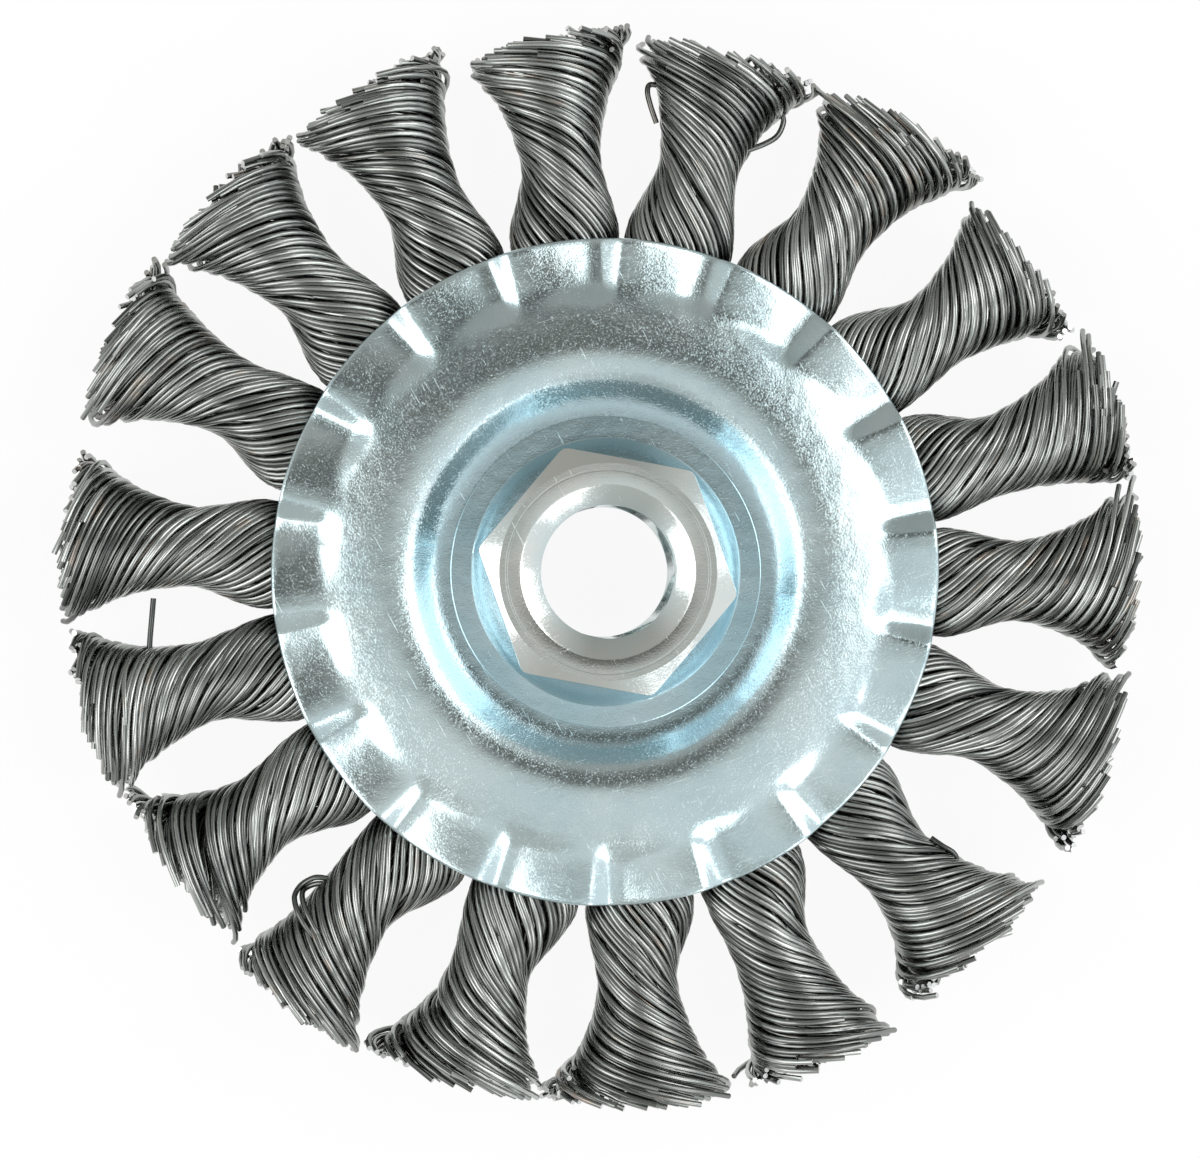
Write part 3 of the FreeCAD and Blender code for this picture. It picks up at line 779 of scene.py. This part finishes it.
def section_places(layer, start_angle, radius, mean_half, rng):
    """Angle of each wire in the disc, and its distance from the middle as a share."""
    count = len(radius)
    loose = smooth_step((radius - LOOSE_START) / LOOSE_RUN)
    sway = rng.uniform(0.6, 1.6, (count, 1)) * radius / 3 + rng.uniform(0, 6.28, (count, 1))
    wander = np.sin(sway) * (FIRM_WANDER + LOOSE_WANDER * loose) * rng.uniform(0.3, 1.0, (count, 1))
    angle = start_angle[:, None] - np.interp(radius, turn_radii, turn_sums) + wander

    lay = np.arctan(np.interp(radius, turn_radii, turn_rates) * mean_half)
    room = 2 * np.pi * mean_half * np.cos(lay) / (2 * WIRE_RADIUS * count)
    rank = ((np.arange(count) * GOLDEN_RATIO) % 1.0)[:, None]
    crowded = smooth_step((rank - room * PACKING) / SINK_SOFTNESS + 0.5)
    sink = crowded * rng.uniform(0.8, 2.2, (count, 1)) * WIRE_RADIUS * SINK_DEPTH
    ripple = np.sin(sway * 1.37 + 2.0) * RIPPLE
    depth = layer - (sink * (layer > OUTER_LAYER) + ripple + WIRE_RADIUS) / mean_half
    spread = opened(radius) * rng.uniform(-0.10, 0.06, (count, 1))
    return angle, np.clip(depth + spread, 0.03, 1.0)


print("the bell is half open at", OPEN_START + OPEN_RUN / 2, "mm:", opened(OPEN_START + OPEN_RUN / 2))

# %% [markdown]
# From its place in the section, the outline of the knot gives a wire its place in the wheel.
# Every wire is worn off at its own length. The last two millimetres are bent a little, and
# those of one wire in five a lot. Near the ring all wires gather in two legs, one above the
# web of the ring and one below.

# %% Centre lines of the wires of one layer
JITTER = 0.28
OUTER_WEAR, INNER_WEAR, MOST_WEAR = 0.9, 0.5, 5.0
EXTRA_LENGTH, SHORTEST = 0.25, 42.0
SLANT_POWER = 4
BEND_LENGTH = 2.2
BEND_SHARES, BEND_ODDS = [0.15, 0.3, 1.0], [0.5, 0.3, 0.2]
BENT_REACH, BENT_DEGREES, BENT_HEIGHT = 0.3, 0.6, 0.4
WIDER = 0.09
LEG_RUN, LEG_GAP, LEG_HEIGHT = 2.6, 1.35, 3.1


def layer_lines(row, count, layer, steps, rng, phase):
    """Centre lines of wires, as an array of wires x steps x 3, drawn along X."""
    start_angle = 2 * np.pi * (np.arange(count) + rng.uniform(-JITTER, JITTER, count)) / count + phase
    wear = rng.exponential(OUTER_WEAR if layer > OUTER_LAYER else INNER_WEAR, count)
    low_reach, high_reach = row[4:]
    tip = TIP_RADIUS + (low_reach + high_reach) / 2
    end = np.maximum(tip + EXTRA_LENGTH - np.minimum(wear, MOST_WEAR), SHORTEST)
    radius = radii_for_steps(end, steps)
    half_angle, lean, half_height = knot_outline(row, radius)
    mean_half = (np.radians(half_angle) * radius + half_height) / 2
    angle, depth = section_places(layer, start_angle, radius, mean_half, rng)

    across = depth * np.cos(angle) * (1 + WIDER * opened(radius))
    up = depth * np.sin(angle)
    slant = ((radius - LINK_END) / (tip - LINK_END)) ** SLANT_POWER * (high_reach - low_reach) / 2
    near_end = smooth_step((radius - end[:, None] + BEND_LENGTH) / BEND_LENGTH)
    bend = near_end * rng.choice(BEND_SHARES, (count, 1), p=BEND_ODDS)
    reach = radius - slant * across + bend * rng.normal(0, BENT_REACH, (count, 1))
    azimuth = np.radians(half_angle * across - lean + bend * rng.normal(0, BENT_DEGREES, (count, 1)))
    height = half_height * up + bend * rng.normal(0, BENT_HEIGHT, (count, 1))
    near_ring = 1 - smooth_step((radius - LINK_END) / LEG_RUN)
    legs = np.sign(up[:, :1]) * (LEG_GAP + LEG_HEIGHT * np.abs(up))
    height = height + near_ring * (legs - height)
    return np.stack([reach * np.cos(azimuth), reach * np.sin(azimuth), height], axis=2)


test_lines = layer_lines(KNOT_TABLE[0], 44, 1.0, 42, np.random.default_rng(1), 0.0)
test_reach = np.linalg.norm(test_lines[:, -1, :2], axis=1).max()
print("lines:", test_lines.shape, "reach to", round(float(test_reach), 2), "mm")

# %% [markdown]
# ## Folding the wires through the ring
#
# A wire of the upper leg and one of the lower leg are the two halves of one wire. The halves
# are paired by how far to the side they lie, and a half circle through the window of the
# ring joins them. From then on each pair is a single line from tip to tip.

# %% Join two halves with a fold
BEND_CENTRE = 25.2
BEND_STEPS = 7


def fold_pairs(lines):
    """Pairs the upper and the lower lines and joins each pair round the inner edge of the ring."""
    is_upper = lines[:, 0, 2] > 0
    upper, lower = lines[is_upper], lines[~is_upper]
    pairs = min(len(upper), len(lower))
    upper = upper[np.argsort(upper[:, 0, 1])][:pairs]
    lower = lower[np.argsort(lower[:, 0, 1])][:pairs]
    bend = []
    for share in np.linspace(0, 1, BEND_STEPS):
        turn = math.pi / 2 - math.pi * share
        size = (1 - share) * upper[:, 0, 2] - share * lower[:, 0, 2]
        side = (1 - share) * upper[:, 0, 1] + share * lower[:, 0, 1]
        bend.append(np.stack([BEND_CENTRE - size * math.cos(turn), side, size * math.sin(turn)], axis=1))
    return np.concatenate([upper[:, ::-1], np.stack(bend, axis=1), lower], axis=1)


print("folded:", fold_pairs(test_lines).shape)

# %% [markdown]
# ## From a line to a wire
#
# A curve object with a round bevel would do for one wire. A mesh is used instead, because it
# can hold the tone of each wire and the map along it. A ring of points is carried along the
# line without twisting, by taking from its direction whatever points along the wire.

# %% Rings of points round many lines at once
ASKEW = [0.31, 0.52, 0.79]


def wire_rings(lines, sides, thickness):
    """Points of round wires, as an array of wires x steps x sides x 3."""
    along = np.gradient(lines, axis=1)
    along /= np.linalg.norm(along, axis=2, keepdims=True)
    side = np.cross(along[:, 0], ASKEW)
    carried = []
    for step in range(lines.shape[1]):
        side = side - along[:, step] * np.sum(side * along[:, step], axis=1, keepdims=True)
        side /= np.linalg.norm(side, axis=1, keepdims=True)
        carried.append(side)
    first = np.stack(carried, axis=1)
    second = np.cross(along, first)
    turn = 2 * np.pi * np.arange(sides) / sides
    ring = np.cos(turn)[:, None] * first[:, :, None] + np.sin(turn)[:, None] * second[:, :, None]
    return lines[:, :, None] + thickness * ring


print("rings of two wires:", wire_rings(test_lines[:2], 8, WIRE_RADIUS).shape)

# %% [markdown]
# The faces of one wire are a strip of quads round each step and two caps, each cut into quads
# as well. All wires of a layer have the same faces, only shifted to their own points.

# %% Faces of the wires
def tubes(lines, sides, thickness):
    """Points and faces of round wires with closed ends, and which faces are ends."""
    count, steps = lines.shape[:2]
    step, corner = np.meshgrid(np.arange(steps - 1), np.arange(sides), indexing="ij")
    beside = (corner + 1) % sides
    here, there = step * sides, (step + 1) * sides
    quads = [here + corner, here + beside, there + beside, there + corner]
    wall = np.stack([quad.ravel() for quad in quads], axis=1)
    start_cap = np.array([(0, 3, 2, 1)] + [(0, k + 2, k + 1, k) for k in range(3, sides - 1, 2)])
    end_cap = start_cap[:, ::-1] + (steps - 1) * sides
    one_wire = np.concatenate([wall, start_cap, end_cap])
    is_end = np.arange(len(one_wire)) >= len(wall)
    offsets = np.arange(count)[:, None, None] * steps * sides
    points = wire_rings(lines, sides, thickness).reshape(-1, 3)
    return points, (one_wire[None] + offsets).reshape(-1, 4), np.tile(is_end, count)


test_points, test_faces, test_ends = tubes(test_lines[:2], 8, WIRE_RADIUS)
print("two wires:", len(test_points), "points,", len(test_faces), "faces,", test_ends.sum(), "on the ends")

# %% [markdown]
# ## Stray wires
#
# A few wires have sprung out of their bundle in a loop or stick out alone. Each is given as
# a knot, and points in millimetres from the bore with the height over the middle plane.
# A curve through the points, with every point weighing on its neighbours, makes them springy.

# %% Strays of single knots
STRAYS = {
    2: [
        [
            (12.2, 38.6, 1.2), (13.1, 39.3, 1.0), (14.9, 40.0, 0.8), (16.2, 40.8, 0.6),
            (16.8, 42.1, 0.4), (16.7, 43.2, 0.2), (17.2, 44.9, -0.2), (16.8, 46.0, -0.6),
        ],
        [(4.9, 42.0, 0.4), (4.35, 43.6, 0.5), (4.05, 44.9, 0.6), (4.3, 45.6, 0.4), (5.4, 45.5, 0.2)],
    ],
    3: [
        [
            (21.6, 39.6, 0.6), (20.9, 38.9, 0.7), (20.1, 38.1, 0.6), (19.85, 37.4, 0.5),
            (19.95, 36.2, 0.4), (20.5, 34.8, 0.3),
        ],
        [(22.0, 42.9, 0.4), (21.1, 42.7, 0.6), (20.75, 41.8, 0.7), (21.0, 40.4, 0.6), (21.9, 38.6, 0.4)],
    ],
    8: [
        [(30.6, -24.9, 0.8), (31.6, -25.6, 1.0), (32.7, -26.3, 0.9), (33.0, -27.1, 0.7), (32.2, -27.8, 0.5)],
    ],
    12: [
        [
            (-24.6, -28.9, 0.8), (-26.6, -28.5, 1.0), (-27.5, -28.7, 1.2), (-28.3, -29.2, 1.6),
            (-28.8, -29.9, 2.2), (-28.9, -30.5, 2.7), (-28.6, -31.6, 3.3), (-27.9, -32.9, 3.6),
            (-26.9, -34.3, 3.6),
        ],
        [
            (-25.0, -29.3, 0.6), (-26.7, -29.1, 0.7), (-27.9, -29.5, 1.3), (-28.2, -30.2, 2.2),
            (-27.8, -31.6, 3.2), (-26.9, -33.3, 3.7), (-26.1, -34.6, 3.6),
        ],
    ],
    14: [
        [(-42.5, -7.4, 0.4), (-42.4, -5.9, 0.5), (-42.25, -4.2, 0.5), (-42.1, -2.45, 0.6)],
    ],
}
STRAY_STEPS, STRAY_SIDES = 28, 8


def springy_line(points):
    """A Catmull-Rom curve through the points, as an array of one wire."""
    points = np.asarray(points, dtype=float)
    padded = np.concatenate([2 * points[:1] - points[1:2], points, 2 * points[-1:] - points[-2:-1]])
    place = np.linspace(0, len(points) - 1, STRAY_STEPS)
    index = np.minimum(place.astype(int), len(points) - 2)
    share = (place - index)[:, None]
    a, b, c, d = (padded[index + shift] for shift in range(4))
    square = (2 * a - 5 * b + 4 * c - d) * share ** 2
    cube = (3 * b - a - 3 * c + d) * share ** 3
    return (2 * b + (c - a) * share + square + cube)[None] / 2


print("stray wires:", sum(len(strays) for strays in STRAYS.values()))

# %% [markdown]
# ## Building the knots
#
# A knot has an outer layer of fine tubes, three layers below it and a few wires at its heart.
# What lies deep gets fewer sides, since it shows only through gaps and at the tips. Every
# knot has its own seed, so it is always built the same way but never like its neighbour.
# The mesh carries a tone and a brownness at its points and a map that runs along the wires.

# %% Wires of a knot
# Each layer: wire ends, distance from the middle as a share, steps along a wire, sides of it
LAYERS = [(42, 1.0, 40, 8), (32, 0.86, 22, 6), (22, 0.66, 15, 6), (14, 0.42, 11, 6), (6, 0.18, 10, 6)]
BUNDLE_TONE, STRAY_TONE, TONE_SPREAD = 0.5, 0.1, 0.26
BROWN_ODDS = 0.09
MAP_GAP = 10
FIRST_SEED = 1000


def add_wire_data(mesh, tone, brown, along_wire, around_wire):
    for name, values in (("tone", tone), ("brown", brown)):
        mesh.attributes.new(name, "FLOAT", "POINT").data.foreach_set("value", values.astype(np.float32))
    corner_points = np.empty(len(mesh.loops), dtype=np.int64)
    mesh.loops.foreach_get("vertex_index", corner_points)
    layout = np.stack([along_wire[corner_points], around_wire[corner_points]], axis=1)
    mesh.uv_layers.new(name="along").data.foreach_set("uv", layout.astype(np.float32).ravel())


def make_knot(number):
    rng = np.random.default_rng(FIRST_SEED + number)
    phase = rng.uniform(0, 2 * np.pi)
    turn = turn_about_bore(FIRST_KNOT - PITCH * number)
    bundles = [
        (fold_pairs(layer_lines(KNOT_TABLE[number], count, layer, steps, rng, phase)), sides, BUNDLE_TONE)
        for count, layer, steps, sides in LAYERS
    ]
    strays = STRAYS.get(number + 1, [])
    bundles += [(springy_line(stray) @ turn.T, STRAY_SIDES, STRAY_TONE) for stray in strays]
    built = []
    base = 0
    for lines, sides, usual_tone in bundles:
        points, faces, ends = tubes(lines, sides, WIRE_RADIUS)
        wires, rings = lines.shape[:2]
        tone = np.clip(rng.normal(usual_tone, TONE_SPREAD, wires), 0, 1)
        brown = (rng.random(wires) < BROWN_ODDS) * rng.uniform(0.4, 1.0, wires)
        length = np.cumsum(np.linalg.norm(np.diff(lines, axis=1, prepend=lines[:, :1]), axis=2), axis=1)
        along_wire = np.repeat((length + MAP_GAP * np.arange(wires)[:, None]).ravel(), sides)
        around_wire = np.tile(np.arange(sides) / sides, wires * rings)
        per_point = [np.repeat(values, rings * sides) for values in (tone, brown)]
        built.append((points, faces + base, ends, *per_point, along_wire, around_wire))
        base += len(points)
    points, faces, ends, *wire_data = (np.concatenate(part) for part in zip(*built))
    knot = make_piece(
        f"wire_knot_{number + 1:02d}", points @ turn + [0, 0, MIDDLE], faces,
        [drawn_wire, cut_end], f"knot_{number + 1:02d}",
    )
    knot.data.polygons.foreach_set("material_index", ends.astype(np.int32))
    add_wire_data(knot.data, *wire_data)
    knot.data.set_sharp_from_angle(angle=math.radians(60))
    return knot


knots = [make_knot(number) for number in range(KNOT_COUNT)]
print("faces of all knots:", sum(len(knot.data.polygons) for knot in knots))

# %% [markdown]
# ## The hidden steel
#
# The ring that the bundles are folded through and the bush that keeps the covers apart are
# plain parts. Their solids are right as they are and stay in the scene. They only get a
# finish: oiled steel with fine rings from the lathe.

# %% Plain steel for the ring and the bush
plain_steel, tree, shader = new_material("oiled_steel", {"Metallic": 1.0})
where = add_node(tree, "ShaderNodeTexCoord").outputs["Object"]
rings = add_node(
    tree, "ShaderNodeTexWave", {"Vector": where, "Scale": 900.0, "Distortion": 2.0, "Detail": 2.0},
    wave_type="RINGS", rings_direction="Z",
).outputs["Fac"]
fill_sockets(tree, shader, {
    "Base Color": two_tones(tree, rings, (0.30, 0.30, 0.31), (0.46, 0.46, 0.46)),
    "Roughness": move_range(tree, rings, (0, 1), (0.28, 0.45)),
})
for node in ("knot_ring", "centre_bush"):
    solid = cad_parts[node]
    solid.data.materials.clear()
    solid.data.materials.append(plain_steel)
print("finished knot_ring and centre_bush")

# %% [markdown]
# ## Floor
#
# The wheel lies on a white table. For the camera and for reflections most of its light is a
# steady glow of strength 1, so that it stays white up to the border of the picture. The rest
# is lit by the lamps and keeps the shadow of the wheel.

# %% White table
TABLE_HALF = 4
TABLE_DROP = 0.00002
GLOW_SHARE = 0.92

corners = [(-1, -1), (1, -1), (1, 1), (-1, 1)]
floor_points = [(TABLE_HALF * x, TABLE_HALF * y, -TABLE_DROP) for x, y in corners]
floor_mesh = bpy.data.meshes.new("table")
floor_mesh.from_pydata(floor_points, [], [(0, 1, 2, 3)])
floor = bpy.data.objects.new("table", floor_mesh)
bpy.context.scene.collection.objects.link(floor)

table_white, tree, shader = new_material("table_white", {"Roughness": 0.9, "Specular IOR Level": 0.0})
where = add_node(tree, "ShaderNodeTexCoord").outputs["Object"]
paper = add_noise(tree, where, {"Scale": 300.0, "Detail": 3.0})
fill_sockets(tree, shader, {"Base Color": two_tones(tree, paper, (0.93, 0.93, 0.93), (0.96, 0.96, 0.96))})
rays = add_node(tree, "ShaderNodeLightPath").outputs
seen = rays["Is Camera Ray"]
for ray in ("Is Glossy Ray", "Is Transmission Ray"):
    seen = add_math(tree, "MAXIMUM", seen, rays[ray])
glow = add_node(tree, "ShaderNodeEmission").outputs["Emission"]
glow_share = add_math(tree, "MULTIPLY", seen, GLOW_SHARE)
mix = add_node(tree, "ShaderNodeMixShader", {"Fac": glow_share, 1: shader.outputs["BSDF"], 2: glow})
tree.links.new(mix.outputs["Shader"], tree.nodes["Material Output"].inputs["Surface"])
floor_mesh.materials.append(table_white)
print("table ready")

# %% [markdown]
# ## Lamps
#
# Bright metal shows the room more than its own colour. The photograph has one large soft
# light on the left and one on the right. Area lights stand for them, because their size
# sets how wide the white flanks of the covers get. A weaker one fills the lower right.

# %% Softboxes
def add_softbox(name, place, across, deep, power):
    light = bpy.data.lights.new(name, "AREA")
    light.shape = "RECTANGLE"
    light.size, light.size_y = across, deep
    light.energy = power
    lamp = bpy.data.objects.new(name, light)
    bpy.context.scene.collection.objects.link(lamp)
    lamp.location = place
    lamp.rotation_euler = (-Vector(place)).to_track_quat("-Z", "Y").to_euler()
    return lamp


softboxes = [
    add_softbox("left_softbox", (-0.68, -0.12, 0.70), 0.70, 0.72, 2.65),
    add_softbox("right_softbox", (0.62, 0.19, 0.76), 0.52, 0.68, 2.3),
    add_softbox("front_softbox", (0.42, -0.60, 0.68), 0.44, 0.40, 1.1),
]
print("softboxes:", [lamp.name for lamp in softboxes])

# %% [markdown]
# ## Room
#
# Between the lamps the metal mirrors a dim ceiling, and a darker wall behind the top of the
# picture. Cards hung round the wheel would do, but a world whose grey depends on the direction
# is simpler. The ceiling changes from the bottom of the picture to its top, the walls change
# with the compass, and the two blend where a direction leans away from straight up.

# %% Ceiling and walls
CEILING = [
    (-1, 0.80), (-0.29, 0.84), (-0.10, 0.70), (0.0, 0.58),
    (0.07, 0.45), (0.16, 0.18), (0.27, 0.15), (1, 0.30),
]
WALLS = [
    (-180, 0.92), (-150, 0.85), (-120, 0.55), (-90, 0.60), (-60, 0.92), (-30, 1.0), (0, 1.0),
    (30, 0.92), (55, 0.60), (75, 0.40), (95, 0.42), (125, 0.44), (150, 0.72), (180, 0.92),
]
WALL_START, WALL_END = 0.32, 0.46

world = bpy.data.worlds.new("studio")
bpy.context.scene.world = world
world.use_nodes = True
tree = world.node_tree
direction = add_node(tree, "ShaderNodeTexCoord").outputs["Generated"]
parts = add_node(tree, "ShaderNodeSeparateXYZ", {"Vector": direction}).outputs
compass = add_math(tree, "ARCTAN2", parts["Y"], parts["X"])


def add_levels(source, full, levels):
    """A ramp over a value from -full to full, through pairs of place and level. Shade is warmer."""
    ramp = add_node(tree, "ShaderNodeValToRGB", {"Fac": move_range(tree, source, (-full, full))})
    while len(ramp.color_ramp.elements) < len(levels):
        ramp.color_ramp.elements.new(0.5)
    for element, (spot, level) in zip(ramp.color_ramp.elements, levels):
        element.position = (spot / full + 1) / 2
        element.color = (level * (1.04 - 0.08 * level), level, level * (0.90 + 0.12 * level), 1)
    return ramp.outputs["Color"]


ceiling = add_levels(parts["Y"], 1.0, CEILING)
walls = add_levels(compass, math.pi, [(math.radians(turn), level) for turn, level in WALLS])
wall_share = move_range(tree, off_axis(tree, direction), (WALL_START, WALL_END))
fill_sockets(tree, tree.nodes["Background"], {"Color": mix_colours(tree, wall_share, ceiling, walls)})
print("the room has", len(CEILING), "levels on its ceiling and", len(WALLS), "round its walls")

# %% [markdown]
# ## Camera
#
# The wheel was photographed from above with a long lens, a little from the left, so a thin
# crescent of the bore wall shows on its right. The camera looks at a point just beside the
# axis, because the wheel isn't quite in the middle of the picture.

# %% Camera
DISTANCE = 600.0
TILT = math.radians(1.4)
PIXELS_PER_MM = 10.68
IMAGE_WIDTH, IMAGE_HEIGHT = 1200, 1158
WHEEL_CENTRE = (604, 572)
SENSOR_WIDTH = 36.0

target = Vector((
    (IMAGE_WIDTH / 2 - WHEEL_CENTRE[0]) / PIXELS_PER_MM,
    (WHEEL_CENTRE[1] - IMAGE_HEIGHT / 2) / PIXELS_PER_MM,
    MIDDLE,
)) * MM
place = target + Vector((-math.sin(TILT), 0, math.cos(TILT))) * DISTANCE * MM
look = (target - place).normalized()
right = look.cross(Vector((0, 1, 0))).normalized()
up = right.cross(look)
camera_data = bpy.data.cameras.new("camera")
camera_data.sensor_width = SENSOR_WIDTH
camera_data.lens = SENSOR_WIDTH * DISTANCE * PIXELS_PER_MM / IMAGE_WIDTH
camera = bpy.data.objects.new("camera", camera_data)
bpy.context.scene.collection.objects.link(camera)
camera.matrix_world = Matrix.Translation(place) @ Matrix((right, up, -look)).transposed().to_4x4()
bpy.context.scene.camera = camera
bpy.context.scene.view_settings.view_transform = "Standard"
print("lens", round(camera_data.lens, 1), "mm")
